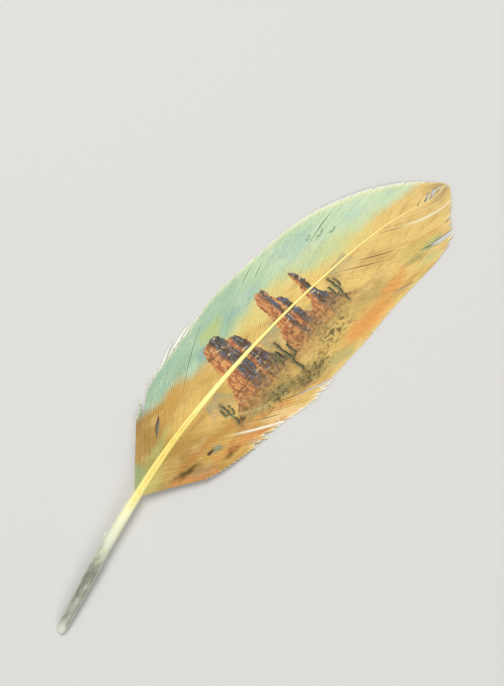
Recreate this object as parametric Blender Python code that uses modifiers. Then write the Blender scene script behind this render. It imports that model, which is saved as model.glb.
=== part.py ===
# A wing feather as sold for a hat band, lying on its hollow side: one grown piece, a shaft with two
# vanes whose barbs cling together in locks. Metres, +Z up. +Y runs from the quill's end to the tip,
# +X to the side of the narrower vane base, and the origin is the middle of the box on the surface.
import math
import random

import bmesh
import bpy
import numpy as np
from mathutils import Vector

MM = 0.001

# Driving dimensions, in millimetres and degrees. Lengths up the feather (rise) are measured from the
# quill's end along the straight line to the tip, and sideways places (side) from that line.
BOX_MIDDLE_SIDE = -13.4
BOX_MIDDLE_RISE = 124.8
SHAFT_END_RISE = 242.5
ARCH_START_RISE = 2.0
ARCH_LENGTH = 246.0
ARCH_HEIGHT = 5.6
VANE_START_RISE = 64.5
VANE_END_RISE = 236.0
VANE_THICKNESS = 0.8
ATTACH_SHARE = 0.35
THIN_SHAFT_RADIUS = 0.45
SHEET_SINK = 0.25
LANDING = 0.86
WAVE_HEIGHT = 0.3
WAVE_LENGTH = 38.0
BARB_REACH = 0.33
TIP_BLEND = 18.0

# The shaft: rise, side of its middle, width.
SHAFT = (
    (0.0, 0.2, 0.8),
    (0.4, 0.15, 2.2),
    (1.2, 0.1, 3.3),
    (3.0, -0.2, 4.1),
    (6.0, -0.95, 4.6),
    (10.0, -1.95, 4.9),
    (20.0, -4.2, 5.1),
    (30.0, -6.4, 5.1),
    (40.0, -8.6, 5.0),
    (50.0, -10.5, 4.8),
    (60.0, -12.2, 4.4),
    (70.0, -13.75, 3.7),
    (80.0, -15.2, 3.3),
    (90.0, -16.35, 2.85),
    (100.0, -17.15, 2.6),
    (115.0, -17.75, 2.3),
    (130.0, -17.9, 2.0),
    (150.0, -17.4, 1.6),
    (170.0, -16.15, 1.3),
    (190.0, -14.0, 1.1),
    (205.0, -11.9, 1.0),
    (220.0, -8.7, 0.9),
    (235.0, -4.25, 0.8),
    (245.0, -1.6, 0.75),
)

# Each vane's edge: rise of a barb's root on the shaft, then side and rise of the same barb's tip.
WIDE_EDGE = (
    (64.5, -34.4, 89.2),
    (70.0, -37.5, 97.6),
    (75.0, -40.2, 106.5),
    (82.0, -42.0, 120.0),
    (90.0, -42.9, 135.0),
    (98.0, -44.1, 150.0),
    (108.0, -43.4, 160.0),
    (120.0, -42.1, 170.0),
    (132.0, -41.0, 180.0),
    (144.0, -39.1, 190.0),
    (156.0, -36.8, 200.0),
    (168.0, -32.0, 212.0),
    (184.0, -25.0, 225.0),
    (200.0, -17.25, 235.0),
    (216.0, -10.5, 242.2),
    (227.0, -5.5, 246.3),
    (236.0, -0.9, 249.5),
)
SHORT_EDGE = (
    (64.5, 4.2, 89.6),
    (70.0, 7.2, 97.5),
    (75.0, 9.4, 106.0),
    (80.0, 10.9, 113.0),
    (84.0, 12.0, 121.0),
    (88.0, 13.4, 129.5),
    (92.0, 15.6, 138.0),
    (96.0, 17.2, 147.0),
    (100.0, 16.7, 156.0),
    (112.0, 16.5, 166.0),
    (124.0, 16.9, 175.0),
    (140.0, 16.4, 187.0),
    (156.0, 16.3, 198.0),
    (172.0, 16.7, 210.0),
    (188.0, 17.1, 220.0),
    (199.0, 16.0, 231.0),
    (206.0, 13.0, 236.0),
    (213.0, 9.4, 240.2),
    (221.0, 6.0, 244.3),
    (229.0, 3.0, 247.2),
    (236.0, -0.9, 249.5),
)

# The angle of a barb at its tip, from the long axis towards +X, by the rise of its root.
WIDE_TIP_ANGLE = (
    (64.5, -41.0),
    (75.0, -26.0),
    (98.0, -15.0),
    (130.0, -10.0),
    (168.0, -4.0),
    (200.0, 2.0),
    (236.0, 10.0),
)
SHORT_TIP_ANGLE = (
    (64.5, 34.5),
    (88.0, 30.0),
    (100.0, 22.0),
    (140.0, 18.0),
    (200.0, 12.0),
    (213.0, 7.0),
    (236.0, 10.0),
)

# How high each vane's edge stands over the surface, by the rise of the barb's root.
WIDE_EDGE_LIFT = (
    (64.5, 3.2),
    (72.0, 1.4),
    (79.0, 0.0),
    (150.0, 0.0),
    (175.0, 0.7),
    (205.0, 0.8),
    (236.0, 0.0),
)
SHORT_EDGE_LIFT = (
    (64.5, 4.2),
    (76.0, 1.9),
    (90.0, 0.0),
    (176.0, 0.0),
    (200.0, 0.6),
    (236.0, 0.0),
)


class Vane:
    """One side of the feather: its edge, and how its barbs leave the shaft and reach that edge."""

    def __init__(self, way, edge, tip_angle, edge_lift, root_angle):
        self.way = way
        self.edge = edge
        self.tip_angle = tip_angle
        self.edge_lift = edge_lift
        self.root_angle = root_angle


WIDE = Vane(-1, WIDE_EDGE, WIDE_TIP_ANGLE, WIDE_EDGE_LIFT, 38.0)
SHORT = Vane(1, SHORT_EDGE, SHORT_TIP_ANGLE, SHORT_EDGE_LIFT, 42.0)

# Splits between two locks: vane, root, where along the barb it opens and closes, widest gap, and
# the share of the gap that the lower lock gives. One that runs on to 1 is open at the edge.
SPLITS = (
    (WIDE, 70.0, 0.81, 1.0, 5.0, 0.1),
    (WIDE, 81.0, 0.27, 0.45, 1.3, 0.5),
    (WIDE, 92.0, 0.88, 1.0, 0.7, 0.5),
    (WIDE, 222.0, 0.88, 1.0, 0.9, 0.5),
    (WIDE, 231.5, 0.45, 0.63, 0.9, 0.5),
    (SHORT, 84.0, 0.88, 1.0, 1.2, 0.5),
    (SHORT, 99.0, 0.63, 1.0, 1.5, 0.5),
    (SHORT, 204.0, 0.72, 1.0, 2.0, 0.5),
    (SHORT, 211.0, 0.88, 1.0, 1.3, 0.5),
)
TIP_SPLIT_START = 0.72
TIP_SPLIT_GAP = 1.2

# Locks: how many a vane has, how uneven they are, and the small notch between two of them.
LOCKS = 30
LOCK_JITTER = 0.9
NOTCH_START = 0.94
NOTCH_DEPTH_SHARE = 0.02
NOTCH_GAP = 1.1
MOST_PULL = 0.8
RIDGE_WEIGHT = 1.0
BORDER_WEIGHT = 0.62
ROOT_WEIGHT = 0.55
TIP_WEIGHT = 0.5
ROWS = (0.0, 0.09, 0.18, 0.27, 0.36, 0.45, 0.54, 0.63, 0.72, 0.81, 0.88, 0.94, 1.0)
SHAFT_STATIONS = 44
SHAFT_SIDE_STEPS = 4
MERGE_MM = 0.001
SEED = 7


def smooth_value(table, key):
    """Reads a table's columns at key, on a smooth curve through its rows."""
    rows = np.array(table, float)
    keys, values = rows[:, 0], rows[:, 1:]
    key = min(max(key, keys[0]), keys[-1])
    i = min(int(np.searchsorted(keys, key, side="right")) - 1, len(keys) - 2)
    span = keys[i + 1] - keys[i]
    u = (key - keys[i]) / span
    slopes = []
    for j in (i, i + 1):
        a, b = max(j - 1, 0), min(j + 1, len(keys) - 1)
        slopes.append((values[b] - values[a]) / (keys[b] - keys[a]) * span)
    low = (1 + 2 * u) * (1 - u) ** 2 * values[i] + u * (1 - u) ** 2 * slopes[0]
    high = u * u * (3 - 2 * u) * values[i + 1] + u * u * (u - 1) * slopes[1]
    return low + high


def eased(u):
    u = min(max(u, 0.0), 1.0)
    return u * u * (3 - 2 * u)


def straight_value(table, key):
    rows = np.array(table, float)
    return float(np.interp(key, rows[:, 0], rows[:, 1]))


def shaft_at(rise):
    """The shaft's middle in millimetres, side, rise and height, and its radius."""
    side, width = smooth_value(SHAFT, rise)
    along = min(max((rise - ARCH_START_RISE) / ARCH_LENGTH, 0.0), 1.0)
    under = ARCH_HEIGHT * 4 * along * (1 - along)
    radius = width / 2
    return Vector((side, rise, under + radius)), radius


def shaft_lean(rise):
    """The shaft's own angle from the long axis, in degrees towards +X."""
    before, after = shaft_at(rise - 2)[0], shaft_at(rise + 2)[0]
    return math.degrees(math.atan2(after.x - before.x, after.y - before.y))


def heading(degrees):
    return Vector((math.sin(math.radians(degrees)), math.cos(math.radians(degrees)), 0.0))


def barb_point(vane, root_rise, t):
    """A point on the underside of a vane, t of the way along the barb that grows at root_rise."""
    middle, radius = shaft_at(root_rise)
    root = Vector((middle.x, middle.y, 0.0))
    side, rise = smooth_value(vane.edge, root_rise)
    tip = Vector((side, rise, 0.0))
    reach = BARB_REACH * (tip - root).length
    opening = vane.root_angle * eased((VANE_END_RISE - root_rise) / TIP_BLEND)
    leave = heading(shaft_lean(root_rise) + vane.way * opening)
    arrive = heading(straight_value(vane.tip_angle, root_rise))
    a, b = root + leave * reach, tip - arrive * reach
    flat = root * (1 - t) ** 3 + a * 3 * t * (1 - t) ** 2 + b * 3 * t * t * (1 - t) + tip * t**3
    attached = middle.z + ATTACH_SHARE * max(0.0, radius - THIN_SHAFT_RADIUS) - SHEET_SINK
    drop = eased(t / LANDING)
    wave = WAVE_HEIGHT * math.sin(2 * math.pi * root_rise / WAVE_LENGTH + vane.way)
    lift = straight_value(vane.edge_lift, root_rise)
    flat.z = attached * (1 - drop) + lift * drop + wave * 4 * drop * (1 - drop)
    return flat


def lock_borders():
    """Where on the shaft one lock ends and the next begins: even, a little uneven, and at each split."""
    rng = random.Random(SEED)
    step = (VANE_END_RISE - VANE_START_RISE) / LOCKS
    borders = [VANE_START_RISE + step * i for i in range(LOCKS + 1)]
    for i in range(1, LOCKS):
        borders[i] += rng.uniform(-LOCK_JITTER, LOCK_JITTER)
    for root in (split[1] for split in SPLITS):
        nearest = min(range(1, LOCKS), key=lambda i: abs(borders[i] - root))
        borders[nearest] = root
    return borders


def pull_back(vane, border, is_lower, t):
    """How far a lock's side stands back from the border that it shares, in millimetres."""
    if border >= VANE_END_RISE:
        return TIP_SPLIT_GAP / 2 * max(0.0, (t - TIP_SPLIT_START) / (1 - TIP_SPLIT_START))
    if border <= VANE_START_RISE:
        return 0.0
    pull = NOTCH_GAP / 2 * max(0.0, (t - NOTCH_START) / (1 - NOTCH_START))
    for split_vane, root, start, end, gap, lower_share in SPLITS:
        if split_vane is not vane or root != border or t <= start:
            continue
        own_part = gap * (lower_share if is_lower else 1 - lower_share)
        if end == 1.0:
            pull = max(pull, own_part * (t - start) / (end - start))
        elif t < end:
            pull = max(pull, own_part * math.sin(math.pi * (t - start) / (end - start)))
    return pull


def lock_side(vane, border, middle, t):
    """A point on a lock's side, which stops a little short of the edge and leans to its middle."""
    at_edge = t == 1.0 and VANE_START_RISE < border < VANE_END_RISE
    reach = 1.0 - NOTCH_DEPTH_SHARE if at_edge else t
    point = barb_point(vane, border, reach)
    inward = barb_point(vane, middle, reach) - point
    pull = min(pull_back(vane, border, border > middle, t), MOST_PULL * inward.length)
    return point + inward.normalized() * pull if pull > 0 else point


def point_weight(t, on_ridge):
    """The share of the full vane thickness at a point, which leaves a ridge down each lock."""
    weight = RIDGE_WEIGHT if on_ridge else BORDER_WEIGHT
    if t == 0.0:
        return ROOT_WEIGHT
    return min(weight, TIP_WEIGHT) if t == 1.0 else weight


def place(point):
    return Vector((point.x - BOX_MIDDLE_SIDE, point.y - BOX_MIDDLE_RISE, point.z)) * MM


def vane_sheet(name):
    """Both vanes as one open sheet of locks, with the share of its thickness in a vertex group."""
    shell = bmesh.new()
    layer = shell.verts.layers.deform.verify()
    borders = lock_borders()
    for vane in (WIDE, SHORT):
        for start, end in zip(borders, borders[1:]):
            middle = (start + end) / 2
            columns = []
            for root, on_ridge in ((start, False), (middle, True), (end, False)):
                column = []
                for t in ROWS:
                    if on_ridge:
                        point = barb_point(vane, root, t)
                    else:
                        point = lock_side(vane, root, middle, t)
                    vertex = shell.verts.new(place(point))
                    vertex[layer][0] = point_weight(t, on_ridge)
                    column.append(vertex)
                columns.append(column)
            for left, right in zip(columns, columns[1:]):
                for i in range(len(ROWS) - 1):
                    ring = [left[i], left[i + 1], right[i + 1], right[i]]
                    shell.faces.new(ring if vane is SHORT else ring[::-1])
    bmesh.ops.remove_doubles(shell, verts=shell.verts, dist=MERGE_MM * MM)
    for face in shell.faces:
        if face.normal.z < 0:
            face.normal_flip()
        face.smooth = True
    mesh = bpy.data.meshes.new(name)
    shell.to_mesh(mesh)
    shell.free()
    return mesh


def plain_material(name, colour, roughness):
    material = bpy.data.materials.new(name)
    material.use_nodes = True
    shader = material.node_tree.nodes["Principled BSDF"]
    shader.inputs["Base Color"].default_value = (*colour, 1.0)
    shader.inputs["Roughness"].default_value = roughness
    shader.inputs["Metallic"].default_value = 0.0
    return material


def shaft_tube(name, collection):
    """The quill and the shaft: a tapered tube on one smooth line, made a closed mesh."""
    line = bpy.data.curves.new(name, "CURVE")
    line.dimensions = "3D"
    line.bevel_depth = 1.0
    line.bevel_resolution = SHAFT_SIDE_STEPS
    line.use_fill_caps = True
    rounded_end = [0.0, 0.4, 1.2, 3.0, 6.0]
    step = (SHAFT_END_RISE - rounded_end[-1]) / SHAFT_STATIONS
    rises = rounded_end + [rounded_end[-1] + step * (i + 1) for i in range(SHAFT_STATIONS)]
    spline = line.splines.new("POLY")
    spline.points.add(len(rises) - 1)
    for point, rise in zip(spline.points, rises):
        middle, radius = shaft_at(rise)
        if rise == rises[-1]:
            radius = radius / 3
        point.co = (*place(middle), 1.0)
        point.radius = radius * MM
    drawn = bpy.data.objects.new(name + "_line", line)
    collection.objects.link(drawn)
    bpy.context.view_layer.update()
    evaluated = drawn.evaluated_get(bpy.context.evaluated_depsgraph_get())
    mesh = bpy.data.meshes.new_from_object(evaluated)
    mesh.name = name
    tube = bpy.data.objects.new(name, mesh)
    tube.matrix_world = drawn.matrix_world
    collection.objects.link(tube)
    bpy.data.objects.remove(drawn)
    solid = bmesh.new()
    solid.from_mesh(mesh)
    bmesh.ops.remove_doubles(solid, verts=solid.verts, dist=MERGE_MM * MM)
    bmesh.ops.recalc_face_normals(solid, faces=solid.faces)
    solid.to_mesh(mesh)
    solid.free()
    return tube


def build_feather():
    parts = bpy.data.collections.new("feather")
    helpers = bpy.data.collections.new("feather_helpers")
    for collection in (parts, helpers):
        bpy.context.scene.collection.children.link(collection)

    shaft = shaft_tube("shaft", helpers)
    shaft.hide_render = True
    shaft.display_type = "WIRE"
    shaft.data.materials.append(plain_material("quill", (0.80, 0.76, 0.55), 0.45))

    feather = bpy.data.objects.new("feather", vane_sheet("feather"))
    parts.objects.link(feather)
    feather.data.materials.append(plain_material("vane", (0.72, 0.66, 0.38), 0.7))
    group = feather.vertex_groups.new(name="thickness")
    thicken = feather.modifiers.new("thickness", "SOLIDIFY")
    thicken.thickness = VANE_THICKNESS * MM
    thicken.offset = 1.0
    thicken.vertex_group = group.name
    thicken.thickness_vertex_group = 0.0
    join = feather.modifiers.new("join the shaft", "BOOLEAN")
    join.operation = "UNION"
    join.solver = "EXACT"
    join.use_self = True
    join.object = shaft


for old in list(bpy.data.objects):
    bpy.data.objects.remove(old)
build_feather()
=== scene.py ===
# %% [markdown]
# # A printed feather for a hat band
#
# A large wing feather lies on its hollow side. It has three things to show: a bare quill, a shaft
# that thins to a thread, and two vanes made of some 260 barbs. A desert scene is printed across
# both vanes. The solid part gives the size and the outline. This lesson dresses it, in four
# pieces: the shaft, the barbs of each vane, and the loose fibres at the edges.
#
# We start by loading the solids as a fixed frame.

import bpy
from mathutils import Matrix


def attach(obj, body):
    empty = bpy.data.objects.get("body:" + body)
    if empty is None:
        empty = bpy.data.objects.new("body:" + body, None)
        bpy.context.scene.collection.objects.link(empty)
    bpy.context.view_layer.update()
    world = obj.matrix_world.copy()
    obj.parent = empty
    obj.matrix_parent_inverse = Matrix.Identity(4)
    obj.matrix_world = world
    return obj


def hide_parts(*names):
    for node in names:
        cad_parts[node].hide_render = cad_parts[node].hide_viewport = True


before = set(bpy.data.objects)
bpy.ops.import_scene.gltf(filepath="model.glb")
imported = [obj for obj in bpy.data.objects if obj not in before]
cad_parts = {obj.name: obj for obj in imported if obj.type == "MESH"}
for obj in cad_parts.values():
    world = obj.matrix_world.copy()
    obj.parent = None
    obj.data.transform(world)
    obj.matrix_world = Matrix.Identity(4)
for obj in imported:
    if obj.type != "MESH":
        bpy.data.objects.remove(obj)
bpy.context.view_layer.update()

# %% Python's and Blender's own modules
import math
import random
from types import SimpleNamespace

import bmesh
import bpy
import numpy as np
from mathutils import Vector

# %% [markdown]
# ## The measuring grid
#
# A feather is easiest to describe along its own line. Rise is the distance from the quill's end
# towards the tip, side is the distance to the right of that line, and both are in millimetres.
# The object itself is in metres with its origin at the middle of its box, so one small function
# turns a grid point into a place in the scene.

# %% From the grid to the scene
MM = 0.001
BOX_MIDDLE_SIDE = -13.4
BOX_MIDDLE_RISE = 124.8


def place(point):
    return Vector((point.x - BOX_MIDDLE_SIDE, point.y - BOX_MIDDLE_RISE, point.z)) * MM


print("the quill's end is at", place(Vector((0.0, 0.0, 0.0))))

# %% [markdown]
# ## The camera
#
# The feather lies on a surface, and the camera looks straight down on it. It is turned about its
# own line of sight, so that the quill points to the lower left of the picture. A long lens from
# some way off keeps both ends at the same scale.

# %% A camera above the feather
VIEW_CENTRE = Vector((-0.0054, 0.0201, 0.0))
VIEW_TALL = 0.2864
VIEW_TURN = 41.14
LENS = 100.0
SENSOR = 36.0
FEATHER_PLANE = 0.004


def new_object(name, data):
    made = bpy.data.objects.new(name, data)
    bpy.context.scene.collection.objects.link(made)
    return made


camera_data = bpy.data.cameras.new("camera")
camera_data.lens = LENS
camera_data.sensor_width = SENSOR
camera = new_object("camera", camera_data)
camera_height = VIEW_TALL * LENS / SENSOR + FEATHER_PLANE
camera.location = VIEW_CENTRE + Vector((0.0, 0.0, camera_height))
camera.rotation_euler = (0.0, 0.0, math.radians(VIEW_TURN))
bpy.context.scene.camera = camera
print("the camera is", round(camera_height, 3), "m above the floor")

# %% [markdown]
# ## Small helpers for node trees
#
# Both materials and Geometry Nodes are trees of nodes. A helper that adds a node, sets its options
# and fills or links its inputs keeps each step to one readable statement. Inputs are named by
# their identifiers, because several inputs of a node can share one name.


# %% Add a node and fill its inputs
def add(tree, kind, inputs=None, **options):
    made = tree.nodes.new(kind)
    for name, value in options.items():
        setattr(made, name, value)
    for key, value in (inputs or {}).items():
        socket = next(s for s in made.inputs if s.identifier == key)
        if isinstance(value, bpy.types.NodeSocket):
            tree.links.new(value, socket)
        else:
            socket.default_value = value
    return made


def output(made, key):
    return next(s for s in made.outputs if s.identifier == key)


def math_node(tree, operation, first, second=0.0, third=0.0):
    inputs = {"Value": first, "Value_001": second, "Value_002": third}
    return add(tree, "ShaderNodeMath", inputs, operation=operation).outputs[0]


def times(tree, first, *others):
    for other in others:
        first = math_node(tree, "MULTIPLY", first, other)
    return first


def vector_math(tree, operation, inputs, key="Vector"):
    return output(add(tree, "ShaderNodeVectorMath", inputs, operation=operation), key)


def axes(tree, vector):
    return add(tree, "ShaderNodeSeparateXYZ", {"Vector": vector}).outputs


def ramp(tree, value, low, high, to_low=0.0, to_high=1.0):
    """A soft step: to_low below low, to_high above high, and an S-curve between them."""
    inputs = {"Value": value, "From Min": low, "From Max": high, "To Min": to_low, "To Max": to_high}
    return output(add(tree, "ShaderNodeMapRange", inputs, interpolation_type="SMOOTHSTEP"), "Result")


def blend(tree, amount, under, over, mode="MIX"):
    """The colour over laid on the colour under, by an amount from 0 to 1."""
    inputs = {"Factor_Float": amount, "A_Color": under, "B_Color": over}
    made = add(tree, "ShaderNodeMix", inputs, data_type="RGBA", blend_type=mode, clamp_factor=True)
    return output(made, "Result_Color")


def paint(red, green, blue):
    """A colour as it looks on screen, from 0 to 255, turned into the light it reflects."""
    levels = []
    for level in (red, green, blue):
        share = level / 255
        levels.append(share / 12.92 if share <= 0.04045 else ((share + 0.055) / 1.055) ** 2.4)
    return (*levels, 1.0)


def laid(tree, colour, hue, *amounts):
    """The colour with a paint over it, by the product of the amounts."""
    return blend(tree, times(tree, *amounts), colour, paint(*hue))


print("mid grey reflects", round(paint(128, 128, 128)[0], 3))

# %% [markdown]
# ## The floor and the light
#
# A pale matte floor lets the feather's own colours speak. The light is a studio's: one large soft
# lamp high over the picture's upper left, far enough to the side to shade the ridges between the
# barbs, a weaker one opposite, and a pale world that fills the shadows.

# %% A pale floor
FLOOR_SIDE = 6.0


def principled(name, uniform):
    """A material and its shader, with the values that are the same all over the surface."""
    material = bpy.data.materials.new(name)
    material.use_nodes = True
    shader = material.node_tree.nodes["Principled BSDF"]
    for title, value in uniform.items():
        shader.inputs[title].default_value = value
    return material, shader


floor_shape = bmesh.new()
bmesh.ops.create_grid(floor_shape, x_segments=1, y_segments=1, size=FLOOR_SIDE / 2)
floor_mesh = bpy.data.meshes.new("floor")
floor_shape.to_mesh(floor_mesh)
floor_shape.free()
floor = new_object("floor", floor_mesh)
floor_finish, _ = principled("pale_floor", {"Base Color": paint(212, 210, 205), "Roughness": 0.85})
floor.data.materials.append(floor_finish)

# %% Soft studio lamps
LAMPS = (
    ("key_lamp", (-0.74, 0.36, 1.85), 0.90, 26.2),
    ("fill_lamp", (1.10, -0.60, 1.50), 1.20, 9.4),
)
WORLD_LIGHT = {"Color": (0.95, 0.97, 1.0, 1.0), "Strength": 0.42}


def soft_lamp(name, position, side, power):
    data = bpy.data.lights.new(name, "AREA")
    data.size = side
    data.energy = power
    lamp = new_object(name, data)
    lamp.location = position
    lamp.rotation_euler = (-Vector(position)).to_track_quat("-Z", "Y").to_euler()


for lamp_row in LAMPS:
    soft_lamp(*lamp_row)

world = bpy.data.worlds.new("studio")
world.use_nodes = True
for title, value in WORLD_LIGHT.items():
    world.node_tree.nodes["Background"].inputs[title].default_value = value
bpy.context.scene.world = world
bpy.context.scene.view_settings.view_transform = "Standard"
print(len(LAMPS), "lamps and a pale world")

# %% [markdown]
# ## The line of the shaft
#
# The shaft bows to the left and also arches up from the surface, because the feather lies on its
# hollow side. A short table gives where its middle runs and how thick it is, and a smooth curve
# through the rows fills in the rest. Nearly the same rows made the solid, so the dressed shaft
# lies in it. Only near the tip was the line moved a little to the right for the dressed one.

# %% Read a table on a smooth curve
SHAFT = (
    (0, 0.2, 0.8), (0.4, 0.15, 2.2), (1.2, 0.1, 3.3), (3, -0.2, 4.1), (6, -0.95, 4.6),
    (10, -1.95, 4.9), (20, -4.2, 5.1), (30, -6.4, 5.1), (40, -8.6, 5), (50, -10.5, 4.8),
    (60, -12.2, 4.4), (70, -13.75, 3.7), (80, -15.2, 3.3), (90, -16.35, 2.85), (100, -17.15, 2.6),
    (115, -17.75, 2.3), (130, -17.9, 2), (150, -17.4, 1.6), (170, -16.15, 1.3), (190, -14, 1.1),
    (205, -11.9, 1), (220, -8.7, 0.9), (230, -5.5, 0.82), (236, -3.3, 0.8), (240, -1.6, 0.77),
    (244, -0.85, 0.75), (248, -0.75, 0.75),
)


def smooth_value(table, key):
    rows = np.array(table, float)
    keys, values = rows[:, 0], rows[:, 1:]
    key = min(max(key, keys[0]), keys[-1])
    i = min(int(np.searchsorted(keys, key, side="right")) - 1, len(keys) - 2)
    span = keys[i + 1] - keys[i]
    u = (key - keys[i]) / span
    slopes = []
    for j in (i, i + 1):
        a, b = max(j - 1, 0), min(j + 1, len(keys) - 1)
        slopes.append((values[b] - values[a]) / (keys[b] - keys[a]) * span)
    low = (1 + 2 * u) * (1 - u) ** 2 * values[i] + u * (1 - u) ** 2 * slopes[0]
    high = u * u * (3 - 2 * u) * values[i + 1] + u * u * (u - 1) * slopes[1]
    return low + high


def straight_value(table, key):
    rows = np.array(table, float)
    return float(np.interp(key, rows[:, 0], rows[:, 1]))


def eased(u):
    u = min(max(u, 0.0), 1.0)
    return u * u * (3 - 2 * u)


# %% Where the shaft runs and how it arches
ARCH_START_RISE = 2.0
ARCH_LENGTH = 246.0
ARCH_HEIGHT = 5.6
LEAN_STEP = 2.0


def shaft_at(rise):
    """The shaft's middle, as side, rise and height, and the radius of its solid."""
    side, width = smooth_value(SHAFT, rise)
    along = min(max((rise - ARCH_START_RISE) / ARCH_LENGTH, 0.0), 1.0)
    under = ARCH_HEIGHT * 4 * along * (1 - along)
    return Vector((side, rise, under + width / 2)), width / 2


def shaft_lean(rise):
    """The shaft's own angle from the long axis, in degrees to the right."""
    before, after = shaft_at(rise - LEAN_STEP)[0], shaft_at(rise + LEAN_STEP)[0]
    return math.degrees(math.atan2(after.x - before.x, after.y - before.y))


print("the arch lifts the shaft", round(shaft_at(125.0)[0].z, 2), "mm")

# %% [markdown]
# ## The shaft as rings
#
# The quill is a round hollow tube. Where the vanes begin it becomes a solid shaft with a flatter
# top, a shallow groove along the back and a deeper one underneath. A tube whose section changes
# like that is a loft: rings of points placed along the line and joined to each other. A curve with
# a bevel would keep one section all the way, so the rings are worked out by a function instead.
# A groove is a row: its angle, its half width, its depth, and the rises between which it ends. So
# is each of the quill's slight lumps: its length along the quill, its phase and its height.

# %% The shaft's section at any rise
DRESSED_WIDTH = (
    (0, 0.8), (0.4, 2.2), (1.2, 3.3), (3, 4.1), (6, 4.6), (10, 4.9), (20, 5.1), (30, 5.05),
    (40, 4.85), (50, 4.7), (60, 4.35), (70, 3.5), (80, 3.25), (90, 2.8), (110, 2.4), (130, 2),
    (150, 1.4), (170, 1), (200, 0.7), (220, 0.52), (236, 0.36), (247.6, 0.12),
)
SHAFT_TOP_RISE = 247.6
RING_POINTS = 36
RING_STEP = 1.5
QUILL_END_RISE = 62.0
SHAFT_START_RISE = 74.0
GROOVES = ((90.0, 24.0, 0.13, 104.0, 118.0), (270.0, 34.0, 0.30, 190.0, 220.0))
SQUARENESS = 0.10
LUMPS = ((9.0, 0.9, 0.010), (23.0, 2.1, 0.012), (41.0, 4.0, 0.006))
LUMPS_IN_ALL = sum(height for length, phase, height in LUMPS)
SHEATH_START = 25.4
SHEATH_END = 33.0
SHEATH_THICK = 0.075
SHEATH_RIM = 0.35
START_RAGS = ((0.8, 3, 1.0), (0.4, 7, 0.0))
END_RAGS = ((0.5, 4, 0.0), (0.35, 9, 2.0))
SHAFT_CLEARANCE = 0.02


def groove(angle, middle, half_angle):
    return 1.0 - eased(abs(angle - middle) / half_angle)


def ragged(rise, angle, rags):
    """A rim that runs up and down round the quill, as a sum of waves."""
    turn = math.radians(angle)
    return sum((height * math.sin(waves * turn + phase) for height, waves, phase in rags), rise)


def sheath(angle, rise):
    """A scrap of the dried sheath that the feather grew in, with a ragged rim at both ends."""
    start = ragged(SHEATH_START, angle, START_RAGS)
    end = ragged(SHEATH_END, angle, END_RAGS)
    return eased((rise - start) / SHEATH_RIM) * (1.0 - eased((rise - end) / SHEATH_RIM))


def ring_reach(angle, rise):
    """How far the surface is from the shaft's middle at an angle in degrees, 90 being the top."""
    is_shaft = eased((rise - QUILL_END_RISE) / (SHAFT_START_RISE - QUILL_END_RISE))
    reach = 1.0 + SQUARENESS * is_shaft * abs(math.sin(math.radians(2 * angle)))
    for middle, half_angle, depth, fade_start, fade_end in GROOVES:
        left = is_shaft * (1.0 - eased((rise - fade_start) / (fade_end - fade_start)))
        reach -= depth * left * groove(angle, middle, half_angle)
    for length, phase, height in LUMPS:
        swell = math.sin(2 * math.pi * rise / length + phase + math.radians(angle))
        reach += height * (1.0 - is_shaft) * swell
    reach += SHEATH_THICK * sheath(angle, rise)
    return reach - LUMPS_IN_ALL * (1.0 - is_shaft)


print("reach at the top of the quill and of the shaft:",
      round(ring_reach(90.0, 40.0), 3), round(ring_reach(90.0, 90.0), 3))


# %% Join the rings into one closed skin
GROOVE_LINE_ANGLE = 90.0
GROOVE_LINE_HALF_ANGLE = 34.0
ROUNDED_END = [0.0, 0.15, 0.4, 0.8, 1.2, 2.0, 3.0, 4.5]
EVEN_START = 6.0
SHEATH_MARGIN = 1.5
SHEATH_RING_STEP = 0.3
RAISED_SHARE = 0.6
DIMPLE_RISE = 1.6


def shaft_rises():
    steps = int((SHAFT_TOP_RISE - EVEN_START) / RING_STEP)
    even = list(np.linspace(EVEN_START, SHAFT_TOP_RISE, steps + 1))
    sheath_ends = (SHEATH_START - SHEATH_MARGIN, SHEATH_END + SHEATH_MARGIN)
    at_the_sheath = np.arange(*sheath_ends, SHEATH_RING_STEP)
    return sorted(ROUNDED_END + even + list(at_the_sheath))


def shaft_ring(rise):
    middle, solid_radius = shaft_at(rise)
    lean = math.radians(shaft_lean(rise))
    radius = smooth_value(DRESSED_WIDTH, rise)[0] / 2
    middle.z += (solid_radius - radius) * RAISED_SHARE + SHAFT_CLEARANCE
    sideways = Vector((math.cos(lean), -math.sin(lean), 0.0))
    ring = []
    for k in range(RING_POINTS):
        angle = 360.0 * k / RING_POINTS
        reach = radius * ring_reach(angle, rise)
        flat, tall = math.cos(math.radians(angle)), math.sin(math.radians(angle))
        ring.append(place(middle + sideways * reach * flat + Vector((0.0, 0.0, reach * tall))))
    return ring


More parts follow.
